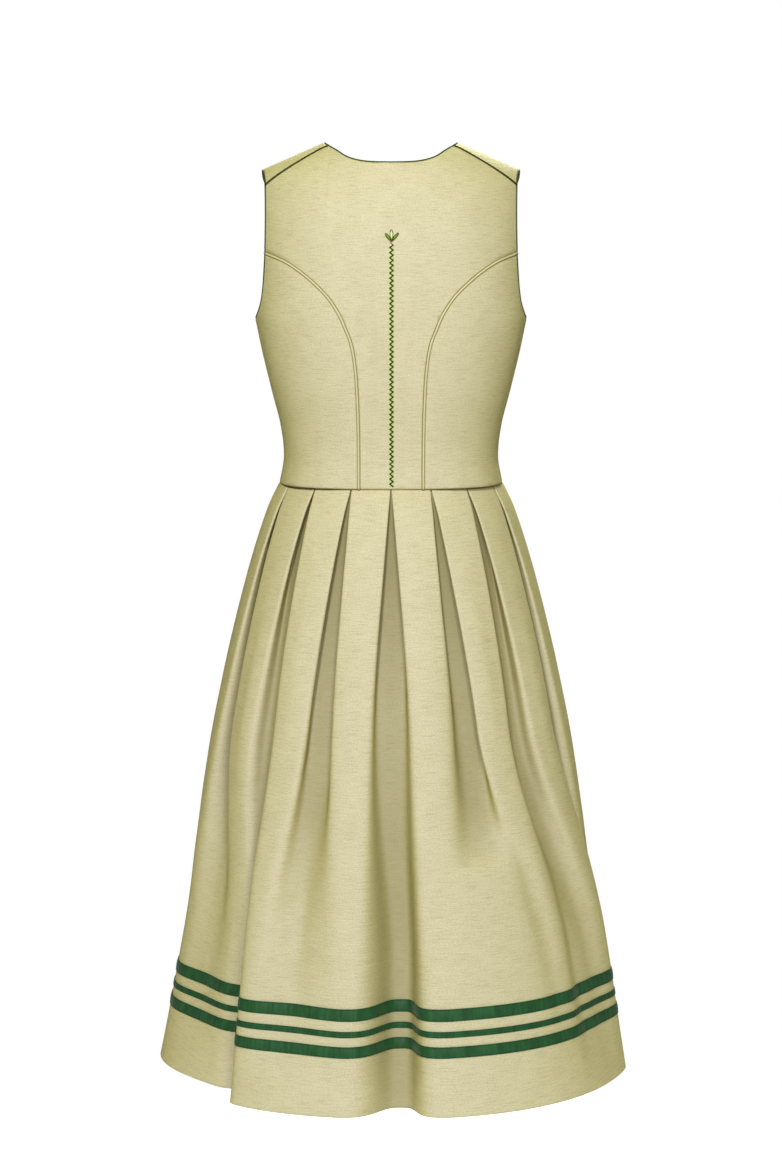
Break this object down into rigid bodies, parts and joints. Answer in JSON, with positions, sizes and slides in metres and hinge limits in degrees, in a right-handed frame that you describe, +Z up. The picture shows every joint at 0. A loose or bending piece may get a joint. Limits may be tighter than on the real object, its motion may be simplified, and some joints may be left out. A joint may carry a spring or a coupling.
{
  "type": "dirndl dress",
  "caption": "Sleeveless knee-length dress with a fitted princess-seamed bodice, pleated flared skirt and ribbon bands above the hem.",
  "frame": {"origin": "midway between the shoulders, level with the middle of each shoulder, where the wearer's shoulders hold the dress up", "axes": "+Z up along the body; -Y out of the dress's back; +Y out of its front; +X towards the wearer's right"},
  "size_m": [0.5488, 0.5146, 1.0297],
  "materials": {
    "linen": "plain-woven beige-olive linen, matt, slubby across",
    "linen_piping": "the same linen over a fine cord, matt",
    "green_piping": "dark green woven piping, low sheen",
    "green_satin": "dark green satin ribbon, soft sheen"
  },
  "bodies": {
    "root": {"back_centre": "linen", "back_side_left": "linen", "front_side_left": "linen", "front_centre_left": "linen", "back_side_right": "linen", "front_side_right": "linen", "front_centre_right": "linen", "skirt_back": "linen", "skirt_front": "linen", "princess_piping_back_left": "linen_piping", "princess_piping_front_left": "linen_piping", "shoulder_piping_left": "green_piping", "armhole_piping_left": "green_piping", "princess_piping_back_right": "linen_piping", "princess_piping_front_right": "linen_piping", "shoulder_piping_right": "green_piping", "armhole_piping_right": "green_piping", "neck_piping": "green_piping", "ribbon_bottom": "green_satin", "ribbon_middle": "green_satin", "ribbon_top": "green_satin"}
  },
  "joints": []
}
